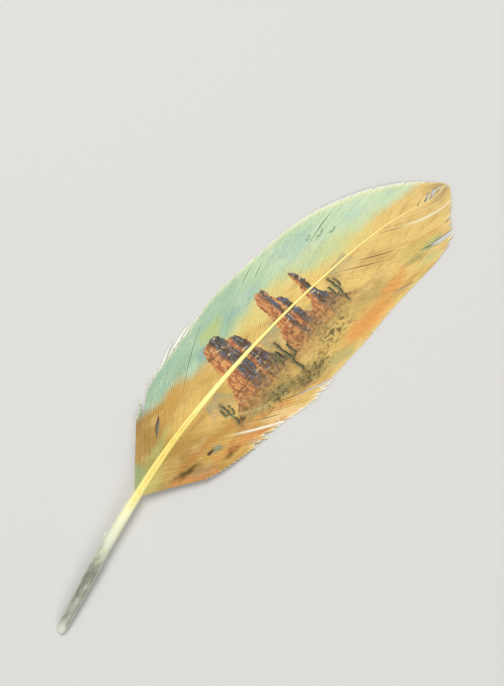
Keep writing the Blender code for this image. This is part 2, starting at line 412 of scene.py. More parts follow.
def shaft_mesh(name):
    skin = bmesh.new()
    rings = [[skin.verts.new(p) for p in shaft_ring(rise)] for rise in shaft_rises()]
    for ring, following in zip(rings, rings[1:]):
        for k in range(RING_POINTS):
            after = (k + 1) % RING_POINTS
            skin.faces.new((ring[k], ring[after], following[after], following[k]))
    skin.faces.new(rings[-1])
    dimple = skin.verts.new(place(shaft_at(DIMPLE_RISE)[0]))
    for k in range(RING_POINTS):
        skin.faces.new((dimple, rings[0][(k + 1) % RING_POINTS], rings[0][k]))
    bmesh.ops.recalc_face_normals(skin, faces=skin.faces)
    for face in skin.faces:
        face.smooth = True
    mesh = bpy.data.meshes.new(name)
    skin.to_mesh(mesh)
    skin.free()
    angles = [360.0 * k / RING_POINTS for k in range(RING_POINTS)] * len(shaft_rises())
    in_groove = [groove(angle, GROOVE_LINE_ANGLE, GROOVE_LINE_HALF_ANGLE) for angle in angles]
    to_flank = [abs(math.cos(math.radians(angle))) for angle in angles]
    for title, values in (("groove", in_groove), ("to_flank", to_flank)):
        mesh.attributes.new(title, "FLOAT", "POINT").data.foreach_set("value", values + [0.0])
    return mesh


shaft = new_object("shaft", shaft_mesh("shaft"))
print("the shaft has", len(shaft.data.polygons), "faces")

# %% [markdown]
# ## How a barb runs
#
# A barb leaves the shaft at an angle, then bends towards the tip until it meets the edge of the
# vane at a grazing angle. A cubic curve with four handles does exactly that: the root, a handle
# along the way it leaves, a handle along the way it arrives, and the tip. Each vane keeps its
# tables together, and every row starts with the rise of a barb's root: the side and rise of the
# tip, the angles at tip and root, the height of the edge, how frayed it is and how far the dye
# fades there. So the outline of the feather follows from the barbs, as on the real thing.

# %% The edges of the two vanes
VANE_START_RISE = 64.5
WIDE = SimpleNamespace(
    way=-1,
    last_root=233.0,
    rim=0.975,
    bareness=0.8,
    edge=(
        (64.5, -34.4, 89.2), (70, -37.5, 97.6), (75, -40.2, 106.5), (82, -42, 120),
        (90, -42.9, 135), (98, -44.1, 150), (108, -43.3, 161), (120, -41.8, 173),
        (132, -40.2, 185), (144, -37.5, 197.5), (153, -34.7, 206), (161, -31, 213.8),
        (172, -26.1, 223.2), (184, -20.4, 231.3), (196, -14.5, 238.2), (208, -9.8, 242.9),
        (220, -5.5, 246.3), (229, -3.2, 248), (233, -1.5, 248.9),
    ),
    tip_angle=(
        (64.5, -41), (75, -27), (98, -15), (130, -8), (161, 0), (184, 6), (208, 16), (233, 30),
    ),
    root_angle=(
        (64.5, 36), (100, 36), (150, 40), (200, 40), (226, 44), (233, 36),
    ),
    edge_lift=(
        (64.5, 3.2), (72, 1.4), (79, 0), (142, 0), (166, 0.7), (190, 0.8), (236, 0),
    ),
    fray=((64.5, 1), (78, 1), (83, 3), (91, 3), (95, 0.6), (195, 0.8), (210, 2), (236, 1.5)),
    fade=((64.5, 0.1), (90, 0.4), (120, 0.6), (190, 0.55), (236, 0.25)),
)
SHORT = SimpleNamespace(
    way=1,
    last_root=236.0,
    rim=0.99,
    bareness=0.5,
    edge=(
        (64.5, 4.2, 89.6), (70, 7.2, 97.5), (75, 9.4, 106), (80, 10.9, 113), (84, 12, 121),
        (88, 13.4, 129.5), (92, 15.6, 138), (96, 17.2, 147), (100, 16.7, 156), (112, 16.6, 168),
        (124, 16.8, 180), (136, 16.3, 191.5), (148, 16.4, 203), (160, 16.9, 214),
        (170, 17, 222.5), (178, 16, 231), (184, 13.3, 235.6), (189.5, 11.3, 238.2),
        (195.5, 9.4, 240.2), (203, 7, 243.2), (211, 4.8, 245.5), (219, 3, 247.2),
        (228, 1.2, 248.6), (236, -0.3, 249.3),
    ),
    tip_angle=(
        (64.5, 34.5), (88, 29), (100, 22), (124, 12), (150, 4), (170, 4), (184, 9), (196, 5),
        (211, 1), (236, -6),
    ),
    root_angle=(
        (64.5, 40), (100, 40), (140, 36), (190, 28), (211, 20), (228, 14), (236, 4),
    ),
    edge_lift=(
        (64.5, 4.2), (76, 1.9), (90, 0), (163, 0), (180, 0.6), (236, 0),
    ),
    fray=((64.5, 1), (76, 1), (80, 5), (90, 4), (104, 1.5), (180, 1), (190, 2.5), (236, 1.5)),
    fade=((64.5, 0), (78, 0), (84, 0.45), (98, 0.5), (106, 0.15), (236, 0.1)),
)

# %% One barb's line
ATTACH_SHARE = 0.35
THIN_SHAFT_RADIUS = 0.45
BARB_HEIGHT = 0.02
LANDING = 0.86
WAVE_HEIGHT = 0.3
WAVE_LENGTH = 38.0
BARB_REACH = 0.33
FLOOR_CLEARANCE = 0.27


def heading(degrees):
    return Vector((math.sin(math.radians(degrees)), math.cos(math.radians(degrees)), 0.0))


class BarbLine:
    """The undisturbed line of the barb that grows at one rise."""

    def __init__(self, vane, root_rise):
        middle, radius = shaft_at(root_rise)
        self.root = Vector((middle.x, middle.y, 0.0))
        side, rise = smooth_value(vane.edge, root_rise)
        self.tip = Vector((side, rise, 0.0))
        reach = BARB_REACH * (self.tip - self.root).length
        opening = straight_value(vane.root_angle, root_rise)
        leave = heading(shaft_lean(root_rise) + vane.way * opening)
        arrive = heading(straight_value(vane.tip_angle, root_rise))
        self.near_root = self.root + leave * reach
        self.near_tip = self.tip - arrive * reach
        self.attached = middle.z + ATTACH_SHARE * max(0.0, radius - THIN_SHAFT_RADIUS)
        self.wave = WAVE_HEIGHT * math.sin(2 * math.pi * root_rise / WAVE_LENGTH + vane.way)
        self.lift = straight_value(vane.edge_lift, root_rise)

    def at(self, t):
        s = 1 - t
        flat = self.root * s**3 + self.near_root * 3 * t * s * s
        flat += self.near_tip * 3 * t * t * s + self.tip * t**3
        drop = eased(t / LANDING)
        height = (self.attached + BARB_HEIGHT) * (1 - drop) + (self.lift + FLOOR_CLEARANCE) * drop
        flat.z = height + self.wave * 4 * drop * (1 - drop)
        return flat


lines = {}


def barb_line(vane, root_rise):
    """The line at a root, worked out once and kept."""
    key = (vane.way, round(root_rise, 4))
    if key not in lines:
        lines[key] = BarbLine(vane, root_rise)
    return lines[key]


print("a barb in the middle of the wide vane ends at", barb_line(WIDE, 150.0).at(1.0))

# %% [markdown]
# ## Locks, splits and hairlines
#
# Barbs hold on to their neighbours with tiny hooks, and where the hooks let go the vane parts
# between two locks. Some of these splits are open at the edge, some are closed lens-shaped holes,
# and many are no more than hairlines. Each is a row in a table: the vane, the root it starts
# from, where along the barb it opens and closes, and how wide it gets. An open split also says
# how much of it the lower lock gives. A third table has the folds, with their height and paleness.

# %% The splits of this feather
SPLITS = (
    (WIDE, 70, 0.77, 1, 3.4, 0.4), (WIDE, 81, 0.235, 0.445, 1.8, 0.5),
    (WIDE, 86.5, 0.9, 1, 0.8, 0.5), (WIDE, 215, 0.93, 1, 0.9, 0.5), (SHORT, 84, 0.9, 1, 1, 0.5),
    (SHORT, 100, 0.52, 1, 1.2, 0.5), (SHORT, 184, 0.78, 1, 4.4, 0.72),
    (SHORT, 195.5, 0.9, 1, 1.2, 0.5), (SHORT, 203, 0.93, 1, 0.8, 0.5),
)
HAIRLINES = (
    (WIDE, 81, 0.14, 0.58, 0.2), (WIDE, 97, 0.16, 0.9, 0.32), (WIDE, 122, 0.74, 0.9, 0.3),
    (WIDE, 132, 0.64, 0.8, 0.3), (WIDE, 163, 0.56, 0.9, 0.34), (WIDE, 89.6, 0.9, 1, 0.7),
    (WIDE, 83.6, 0.93, 1, 0.6), (SHORT, 184, 0.7, 0.9, 0.4), (SHORT, 186.5, 0.06, 0.46, 0.34),
    (SHORT, 192, 0.12, 0.53, 0.36), (SHORT, 211.5, 0.03, 0.5, 0.24),
    (SHORT, 94, 0.48, 0.84, 0.36), (SHORT, 163, 0.7, 0.9, 0.34),
)
RIDGES = (
    (SHORT, 88.6, 0.46, 1.05, 0.34, 0.9), (SHORT, 93.2, 0.45, 0.9, 0.16, 0.24),
    (SHORT, 99.2, 0.24, 0.6, 0.12, 0.26), (SHORT, 108, 0.1, 0.45, 0.1, 0.18),
    (SHORT, 162.2, 0.68, 0.94, 0.16, 0.35), (SHORT, 210.4, 0.2, 1.1, 0.24, 0.6),
    (SHORT, 212.2, 0.2, 1.15, 0.26, 0.7), (SHORT, 223.4, 0.1, 0.95, 0.18, 0.5),
    (SHORT, 225, 0.1, 0.95, 0.18, 0.5), (SHORT, 231, 0.1, 0.9, 0.14, 0.6),
    (WIDE, 229.5, 0.1, 0.95, 0.18, 0.3),
)
EVEN_SHARE = 0.5
OPENINGS = SPLITS + tuple((*row, EVEN_SHARE) for row in HAIRLINES)
RIDGE_HALF_WIDTH = 1.0
LOCKS = 30
LOCK_JITTER = 0.9
LEAST_LOCK = 1.6
SEED = 7


def even_borders():
    """Borders at even steps, each moved a little at random."""
    rng = random.Random(SEED)
    step = (SHORT.last_root - VANE_START_RISE) / LOCKS
    borders = [VANE_START_RISE + step * i for i in range(LOCKS + 1)]
    for i in range(1, LOCKS):
        borders[i] += rng.uniform(-LOCK_JITTER, LOCK_JITTER)
    return borders


def lock_borders(vane):
    """The same borders with this vane's splits and hairlines put among them."""
    own = sorted({row[1] for row in OPENINGS if row[0] is vane})
    ends = [VANE_START_RISE, vane.last_root]
    inside = [b for b in even_borders() if VANE_START_RISE < b < vane.last_root]
    kept = [b for b in inside if all(abs(b - root) > LEAST_LOCK for root in own + ends)]
    return sorted(set(kept + own + ends))


print("locks:", len(lock_borders(WIDE)) - 1, "wide and", len(lock_borders(SHORT)) - 1, "short")

# %% How far a lock draws back from its border
NOTCH_START = 0.93
NOTCH_GAP = 0.9
NOTCH_DEPTH_SHARE = 0.006
NOTCH_RARITY = 2.5
NOTCH_CURVE = 1.5
MOST_PULL = 0.9
SAG = 0.25


def notch_gap(vane, border):
    """Every border has a notch at the edge, most of them very small."""
    return NOTCH_GAP * random.Random(f"notch {vane.way} {border:.2f}").random() ** NOTCH_RARITY


def pull_back(vane, border, is_lower, t):
    if border in (VANE_START_RISE, vane.last_root):
        return 0.0
    into_notch = max(0.0, (t - NOTCH_START) / (1 - NOTCH_START))
    pull = notch_gap(vane, border) / 2 * into_notch**NOTCH_CURVE
    for split_vane, root, start, end, gap, lower_share in OPENINGS:
        if split_vane is not vane or root != border or t <= start:
            continue
        own_part = gap * (lower_share if is_lower else 1 - lower_share)
        if end == 1.0:
            pull = max(pull, own_part * (t - start) / (end - start))
        elif t < end:
            pull = max(pull, own_part * math.sin(math.pi * (t - start) / (end - start)))
    return pull


def ridge_share(vane, root_rise, t):
    """How high and how pale the vane is where barbs are pressed up into a fold."""
    height, pale = 0.0, 0.0
    for ridge_vane, root, start, end, top, paleness in RIDGES:
        off = abs(root_rise - root) / RIDGE_HALF_WIDTH
        if ridge_vane is vane and off < 1.0 and start < t < end:
            share = (1.0 - off) * math.sin(math.pi * (t - start) / (end - start))
            height, pale = height + top * share, pale + paleness * share
    return height, pale


# %% [markdown]
# ## The barbs' paths
#
# Each lock gets as many barbs as fit at the real spacing. Every barb follows its own line, drawn
# in towards the middle of its lock where the lock stands back from a split, and the outer barbs
# end a little sooner. Each lock also lies a touch higher or more tilted than the next, which is
# what makes the borders catch the light. The result is a list of points with a width at each.

# %% Work out the path of every barb
BARB_SPACING = 1.3
POINTS_PER_BARB = 34
OVERLAP = 1.22
TIP_TAPER_START = 0.965
TIP_WIDTH_SHARE = 0.45
LENGTH_JITTER = 0.005
LOCK_TILT = 0.05
LOCK_LIFT = 0.02
NEIGHBOUR_STEP = 0.5
ALONG_STEP = 0.01
LEAST_HEIGHT = 0.22
FADE_START = 0.88


class Strand:
    """The points of one barb or fibre, with what the node tree needs to give it a body."""

    def __init__(self):
        self.points = []
        self.sideways = []
        self.half_widths = []
        self.undyed = []
        self.along = []

    def grow(self, point, sideways, half_width, undyed):
        step = (point - self.points[-1]).length if self.points else 0.0
        self.along.append(self.along[-1] + step if self.along else 0.0)
        self.points.append(point)
        self.sideways.append(sideways)
        self.half_widths.append(half_width)
        self.undyed.append(undyed)


def barb_frame(vane, root_rise, t):
    """The way across the barbs and the spacing between two of them, at one place on the vane."""
    line = barb_line(vane, root_rise)
    before = barb_line(vane, root_rise - NEIGHBOUR_STEP)
    after = barb_line(vane, root_rise + NEIGHBOUR_STEP)
    ahead, behind = line.at(min(t + ALONG_STEP, 1.0)), line.at(max(t - ALONG_STEP, 0.0))
    along = (ahead - behind).normalized()
    across = after.at(t) - before.at(t)
    up = along.cross(across).normalized()
    up = -up if up.z < 0 else up
    sideways = up.cross(along).normalized()
    return sideways, abs(across.dot(sideways)) / (2 * NEIGHBOUR_STEP)


def barb_strand(vane, lock, share, rng):
    start, end = lock["borders"]
    root_rise = start + (end - start) * share
    is_lower = share > 0.5
    border = end if is_lower else start
    closeness = abs(2 * share - 1)
    reach = 1.0 - NOTCH_DEPTH_SHARE * closeness**2
    reach -= abs(rng.gauss(0.0, LENGTH_JITTER * straight_value(vane.fray, root_rise)))
    line, middle_line = barb_line(vane, root_rise), barb_line(vane, (start + end) / 2)
    border_line = barb_line(vane, border)
    fade = straight_value(vane.fade, root_rise)
    strand = Strand()
    for k in range(POINTS_PER_BARB):
        t = reach * k / (POINTS_PER_BARB - 1)
        point = line.at(t)
        sideways, spacing = barb_frame(vane, root_rise, t)
        inward = (middle_line.at(t) - border_line.at(t)).dot(sideways)
        pull = min(pull_back(vane, border, is_lower, t), MOST_PULL * abs(inward))
        pull *= closeness / lock["outermost"]
        point += sideways * math.copysign(pull, inward)
        ridge, pale = ridge_share(vane, root_rise, t)
        tilt = lock["tilt"] * (share - 0.5) * 2 + lock["lift"]
        point.z += tilt * eased(t / LANDING) + ridge - SAG * pull
        point.z = max(point.z, LEAST_HEIGHT)
        near_tip = eased((t / reach - TIP_TAPER_START) / (1 - TIP_TAPER_START))
        taper = 1.0 - (1.0 - TIP_WIDTH_SHARE) * near_tip
        half_width = 0.5 * OVERLAP * spacing * lock["spacing"] * taper
        undyed = vane.bareness * eased((t / reach - vane.rim) / (1.0 - vane.rim))
        undyed += fade * eased((t / reach - FADE_START) / (1.0 - FADE_START))
        strand.grow(point, sideways, half_width, min(undyed + pale, 1.0))
    return strand


def vane_strands(vane):
    rng = random.Random(SEED + vane.way)
    strands = []
    borders = lock_borders(vane)
    for start, end in zip(borders, borders[1:]):
        count = max(2, round((end - start) / BARB_SPACING))
        lock = {
            "borders": (start, end),
            "spacing": (end - start) / count,
            "outermost": 1.0 - 1.0 / count,
            "tilt": rng.uniform(-LOCK_TILT, LOCK_TILT),
            "lift": rng.uniform(-LOCK_LIFT, LOCK_LIFT),
        }
        for k in range(count):
            strands.append(barb_strand(vane, lock, (k + 0.5) / count, rng))
    return strands


wide_strands = vane_strands(WIDE)
short_strands = vane_strands(SHORT)
print("barbs:", len(wide_strands), "wide and", len(short_strands), "short")

# %% [markdown]
# ## Loose barbs
#
# Some barbs have let go altogether: wisps outside the edge, a few that cross the holes near the
# tip, and a thread that curls off the quill. None of them follows the rule of the vane, so each is
# a short list of places, joined by the same smooth curve that the shaft's table uses. The height
# it lies at, its half width and how undyed it is come after its places.

# %% Wisps, crossing barbs and a thread
LOOSE = (
    (((-40.4, 107.2), (-41, 108.8), (-42, 109.3)), 0.5, 0.2, 0.8),
    (((-40.5, 108.2), (-40.9, 109.6), (-41.6, 110.2)), 0.4, 0.18, 0.8),
    (((-40.6, 111.5), (-41.9, 115.6), (-43.2, 119.4), (-44.3, 123.8)), 0.6, 0.24, 0.88),
    (((-40.9, 113.4), (-42.4, 117.4), (-43.7, 121.2), (-44.5, 125.4)), 0.9, 0.2, 0.92),
    (((-41.2, 113.4), (-42.7, 117), (-43.5, 120), (-44, 123.2)), 0.5, 0.22, 0.85),
    (((-41.6, 119), (-42.6, 123.4), (-43.4, 127.8), (-43.9, 131.6)), 0.5, 0.25, 0.9),
    (((-42, 122), (-42.9, 127), (-43.5, 131.5), (-43.5, 136.8)), 0.6, 0.26, 0.92),
    (((-42.2, 127.6), (-42.7, 132), (-43, 136.4), (-43.2, 141)), 0.4, 0.24, 0.9),
    (((10.2, 128.6), (12.3, 127.2), (13.6, 129.8)), 0.5, 0.18, 0.7),
    (((9.8, 122), (11.4, 123.6), (12.9, 127.4)), 0.5, 0.2, 0.6),
    (((10, 116), (11.2, 119.2), (12.4, 123.6)), 0.5, 0.2, 0.7),
    (((9, 110.4), (10.6, 112.6), (11.9, 117)), 0.5, 0.2, 0.6),
    (((12.8, 131), (14.4, 134.4), (15.6, 139.4), (16.2, 142.6)), 0.5, 0.22, 0.65),
    (((14.2, 136.4), (15.8, 140.4), (16.7, 145)), 0.5, 0.2, 0.7),
    (((15.4, 146.4), (16.8, 147.4), (17, 144.8), (17.3, 142.6)), 0.7, 0.15, 0.9),
    (((15.6, 148.4), (16.7, 150), (16.9, 152.6)), 0.6, 0.16, 0.8),
    (((15, 149.6), (16.2, 152.6), (17.2, 156.6)), 0.7, 0.24, 0.75),
    (((15.4, 149.4), (16.3, 153.2), (16.9, 157)), 0.5, 0.2, 0.65),
    (((-4, 234.4), (-4.5, 236.8), (-5, 239.4)), 0.2, 0.42, 0.2),
    (((-3.5, 235.7), (-4.1, 237.7), (-4.7, 240)), 0.2, 0.36, 0.25),
    (((-2.4, 238.2), (-3.2, 240.2), (-4.1, 242), (-4.5, 243.2)), 0.2, 0.4, 0.25),
    (((-1.6, 240), (-1.9, 242.2), (-2.6, 244.4), (-3.1, 245.6)), 0.2, 0.42, 0.2),
    (((-1.2, 241.6), (-1.4, 244), (-1.9, 246.4), (-2.1, 247.6)), 0.2, 0.36, 0.3),
    (((-1, 242), (-1.1, 244.6), (-1.5, 247.2), (-1.7, 248.6)), 0.2, 0.4, 0.25),
    (((-0.9, 243), (-0.8, 245.6), (-1, 248), (-1.1, 248.9)), 0.2, 0.38, 0.3),
    (((-7.2, 241), (-6.9, 242.9), (-6.2, 244.4)), 0.3, 0.26, 0.75),
    (((-8.6, 240.4), (-8, 242.6), (-7.3, 244)), 0.3, 0.24, 0.8),
    (((-11.5, 43.9), (-12.2, 44.1), (-12.8, 44.7), (-12.6, 45.5), (-12, 45.6), (-11.7, 45.1)),
     4.9, 0.12, 1),
)
POINTS_PER_LOOSE = 22
LOOSE_TIP_START = 0.6
LOOSE_TIP_SHARE = 0.25
LOOK_AHEAD = 0.1
TIP_HOLE_RISE = 233.0
TIP_HOLE_SIDE = -6.0
CROSSING_SINK = 0.2


def loose_strand(places, lift, half_width, undyed):
    """A listed barb: its places on a smooth curve, thinner towards the end."""
    table = [(k, *where) for k, where in enumerate(places)]
    strand = Strand()
    last = len(places) - 1
    for k in range(POINTS_PER_LOOSE):
        share = k / (POINTS_PER_LOOSE - 1)
        side, rise = smooth_value(table, share * last)
        behind = smooth_value(table, max(share * last - LOOK_AHEAD, 0))
        ahead = smooth_value(table, min(share * last + LOOK_AHEAD, last))
        way = Vector((*(ahead - behind), 0.0)).normalized()
        to_tip = eased((share - LOOSE_TIP_START) / (1 - LOOSE_TIP_START))
        thin = 1.0 - (1.0 - LOOSE_TIP_SHARE) * to_tip
        across = Vector((way.y, -way.x, 0.0))
        strand.grow(Vector((side, rise, lift)), across, half_width * thin, undyed)
    return strand


def height_above(side, rise, lift):
    """The barbs that cross the holes near the tip lie at the height of the shaft there."""
    if rise > TIP_HOLE_RISE and side > TIP_HOLE_SIDE:
        return shaft_at(rise)[0].z + lift - CROSSING_SINK
    return lift


loose_strands = []
for places, lift, half_width, undyed in LOOSE:
    height = height_above(*places[0], lift)
    loose_strands.append(loose_strand(places, height, half_width, undyed))
print(len(loose_strands), "loose barbs and threads")

# %% [markdown]
# ## Guides for Geometry Nodes
#
# A node tree can give all barbs a body at once, if it knows their paths. So the paths become one
# mesh of edges with no faces, and the width, the way across and the rest are stored on its points
# as named attributes. A mesh is a good carrier: Mesh to Curve turns each chain into a spline.


# %% One mesh of edge chains
def guide_object(name, strands):
    points, edges = [], []
    for strand in strands:
        first = len(points)
        points += [place(p) for p in strand.points]
        edges += [(first + k, first + k + 1) for k in range(len(strand.points) - 1)]
    mesh = bpy.data.meshes.new(name)
    mesh.from_pydata(points, edges, [])
    columns = {
        "half_width": [w * MM for strand in strands for w in strand.half_widths],
        "undyed": [u for strand in strands for u in strand.undyed],
        "along": [a for strand in strands for a in strand.along],
    }
    for title, values in columns.items():
        mesh.attributes.new(title, "FLOAT", "POINT").data.foreach_set("value", values)
    ways = [c for strand in strands for way in strand.sideways for c in way]
    mesh.attributes.new("sideways", "FLOAT_VECTOR", "POINT").data.foreach_set("vector", ways)
    return new_object(name, mesh)


# %% [markdown]
# ## The tree that gives a barb its body
#
# A barb is a thin blade with a ridge along its top. Its section is a kite: wide, low, and pointed
# at the sides, where it meets its neighbours. Curve to Mesh sweeps the kite along each spline,
# scaled by the stored half width. The normals come from the stored way across, so no barb twists.
# A random value for each barb is stored too, and the print's material uses it for its shade. So is
# how near a point is to the barb's side, for the painted shade that darkens the seam between two
# barbs.

# %% Build the barb tree
RIDGE_HEIGHT = 0.24
LOOSE_RIDGE_HEIGHT = 0.8
TREE_INPUTS = (
    ("Geometry", "Geometry", None),
    ("Ridge height", "Float", RIDGE_HEIGHT),
    ("Belly depth", "Float", 0.25),
    ("Seed", "Int", SEED),
    ("Finish", "Material", None),
)
SHARP_SIDE_ANGLE = 75.0


def stored(tree, title, data_type):
    inputs = {"Name": title}
    return add(tree, "GeometryNodeInputNamedAttribute", inputs, data_type=data_type).outputs[0]


def store(tree, geometry, title, value, domain):
    inputs = {"Geometry": geometry, "Name": title, "Value": value}
    kind = "GeometryNodeStoreNamedAttribute"
    return add(tree, kind, inputs, data_type="FLOAT", domain=domain).outputs[0]


def barb_tree():
    tree = bpy.data.node_groups.new("barbs_with_a_body", "GeometryNodeTree")
    face = tree.interface
    for title, kind, value in TREE_INPUTS:
        socket = face.new_socket(title, in_out="INPUT", socket_type="NodeSocket" + kind)
        if value is not None:
            socket.default_value = value
    face.new_socket("Geometry", in_out="OUTPUT", socket_type="NodeSocketGeometry")
    given = add(tree, "NodeGroupInput").outputs

    def step(kind, inputs=None, **options):
        return add(tree, kind, inputs, **options).outputs[0]

    curves = step("GeometryNodeMeshToCurve", {"Mesh": given["Geometry"]})
    number = step("GeometryNodeInputIndex")
    chance = {"Min_001": -1.0, "Max_001": 1.0, "ID": number, "Seed": given["Seed"]}
    shade = output(add(tree, "FunctionNodeRandomValue", chance, data_type="FLOAT"), "Value_001")
    curves = store(tree, curves, "shade", shade, "CURVE")
    turned = {"Curve": curves, "Normal": stored(tree, "sideways", "FLOAT_VECTOR")}
    curves = step("GeometryNodeSetCurveNormal", turned, mode="FREE")

    heights = {"Bottom Height": given["Belly depth"], "Top Height": given["Ridge height"]}
    kite = step("GeometryNodeCurvePrimitiveQuadrilateral", {"Width": 2.0, **heights}, mode="KITE")
    # How near each point is to the barb's side; the vane's material paints shade into the seams from
    # it.
    to_side = math_node(tree, "ABSOLUTE", axes(tree, step("GeometryNodeInputPosition"))["X"])
    kite = store(tree, kite, "to_side", to_side, "POINT")
    swept = {"Curve": curves, "Profile Curve": kite, "Scale": stored(tree, "half_width", "FLOAT")}
    body = step("GeometryNodeCurveToMesh", {**swept, "Fill Caps": True})

    body = step("GeometryNodeSetShadeSmooth", {"Geometry": body, "Shade Smooth": True})
    bend = output(add(tree, "GeometryNodeInputMeshEdgeAngle"), "Unsigned Angle")
    limit = {"A": bend, "B": math.radians(SHARP_SIDE_ANGLE)}
    is_side = step("FunctionNodeCompare", limit, data_type="FLOAT", operation="GREATER_THAN")
    crisp = {"Geometry": body, "Selection": is_side, "Shade Smooth": False}
    body = step("GeometryNodeSetShadeSmooth", crisp, domain="EDGE")
    body = step("GeometryNodeRealizeInstances", {"Geometry": body})
    body = step("GeometryNodeSetMaterial", {"Geometry": body, "Material": given["Finish"]})
    tree.links.new(body, add(tree, "NodeGroupOutput").inputs[0])
    return tree


# %% Run the tree and keep a plain mesh
def grown(name, strands, tree, finish, ridge_height=RIDGE_HEIGHT):
    """The strands as one plain mesh object, with the node tree's modifier gone."""
    guides = guide_object(name + "_guides", strands)
    modifier = guides.modifiers.new("barbs", "NODES")
    modifier.node_group = tree
    sizes = {"Ridge height": ridge_height, "Seed": SEED, "Finish": finish}
    for item in tree.interface.items_tree:
        if item.in_out == "INPUT" and item.name in sizes:
            modifier[item.identifier] = sizes[item.name]
    bpy.context.view_layer.update()
    evaluated = guides.evaluated_get(bpy.context.evaluated_depsgraph_get())
    mesh = bpy.data.meshes.new_from_object(evaluated)
    mesh.name = name
    bpy.data.objects.remove(guides)
    return new_object(name, mesh)


# %% [markdown]
# ## The print, in picture coordinates
#
# The picture is printed sideways: its left to right runs along the shaft, and its up is the wide
# vane. Everything in it is drawn by the place on the measuring grid, read from the Object
# coordinates, so the print runs straight on from one barb to the next as real ink does. Hard
# drawn shapes would look like stickers, so the coordinates are first pushed about with noise.


# %% The grid inside a material
def grid_place(tree):
    onto_grid = {
        "Vector": output(add(tree, "ShaderNodeTexCoord"), "Object"),
        "Location": (BOX_MIDDLE_SIDE, BOX_MIDDLE_RISE, 0.0),
        "Scale": (1.0 / MM, 1.0 / MM, 0.0),
    }
    return add(tree, "ShaderNodeMapping", onto_grid).outputs[0]


def noise(tree, vector, scale, detail=3.0, key="Fac"):
    made = add(tree, "ShaderNodeTexNoise", {"Vector": vector, "Scale": scale, "Detail": detail})
    return output(made, key)


def streaky(tree, vector, along_side, along_rise, detail=4.0):
    """Noise that runs in streaks, because its place is scaled unlike in its two directions."""
    stretch = {"Vector": vector, "Scale": (along_side, along_rise, 1.0)}
    return noise(tree, add(tree, "ShaderNodeMapping", stretch).outputs[0], 1.0, detail)


def cloud(tree, vector, along_side, along_rise, low, high, most, detail=4.0, least=0.0):
    """Streaky noise as an amount from least to most."""
    return ramp(tree, streaky(tree, vector, along_side, along_rise, detail), low, high, least, most)


def clouded(tree, colour, vectors, rows, *within):
    """The colour with a cloud of paint over it for each row, at the vector that goes with it."""
    for vector, (*sizes, hue) in zip(vectors, rows):
        colour = laid(tree, colour, hue, cloud(tree, vector, *sizes), *within)
    return colour


def pushed(tree, vector, *pushes):
    """The place moved about by noise, for each push at most half of its reach each way."""
    for scale, reach in pushes:
        colour = noise(tree, vector, scale, key="Color")
        centred = vector_math(tree, "SUBTRACT", {"Vector": colour, "Vector_001": (0.5, 0.5, 0.5)})
        moved = {"Vector": centred, "Vector_001": (reach, reach, 0.0), "Vector_002": vector}
        vector = vector_math(tree, "MULTIPLY_ADD", moved)
    return vector


# %% Colour along the feather and a height along the picture
def share_of(tree, value, low, high):
    return math_node(tree, "DIVIDE", math_node(tree, "SUBTRACT", value, low), high - low)


def colour_along(tree, value, low, high, rows):
    """A colour ramp whose stops are given in millimetres."""
    made = add(tree, "ShaderNodeValToRGB", {"Fac": share_of(tree, value, low, high)})
    stops = made.color_ramp.elements
    while len(stops) < len(rows):
        stops.new(0.5)
    for stop, (place_mm, hue) in zip(stops, rows):
        stop.position = (place_mm - low) / (high - low)
        stop.color = paint(*hue)
    return made.outputs[0]


def height_along(tree, value, low, high, least, most, rows, handle="VECTOR"):
    """A drawn line: for a place from low to high, its height from least to most."""
    made = add(tree, "ShaderNodeFloatCurve", {"Value": share_of(tree, value, low, high)})
    curve = made.mapping.curves[0]
    while len(curve.points) < len(rows):
        curve.points.new(0.5, 0.5)
    for point, (place_mm, height) in zip(curve.points, rows):
        point.location = ((place_mm - low) / (high - low), (height - least) / (most - least))
        point.handle_type = handle
    made.mapping.update()
    return math_node(tree, "MULTIPLY_ADD", made.outputs[0], most - least, least)


def patch(tree, vector, side, rise, half_side, half_rise, turn=0.0, core=0.25):
    """A soft ellipse: 1 in its core, 0 outside."""
    onto_patch = {
        "Vector": vector,
        "Location": (side, rise, 0.0),
        "Rotation": (0.0, 0.0, math.radians(turn)),
        "Scale": (half_side, half_rise, 1.0),
    }
    local = add(tree, "ShaderNodeMapping", onto_patch, vector_type="TEXTURE").outputs[0]
    away = vector_math(tree, "LENGTH", {"Vector": local}, "Value")
    return ramp(tree, away, core, 1.0, 1.0, 0.0)
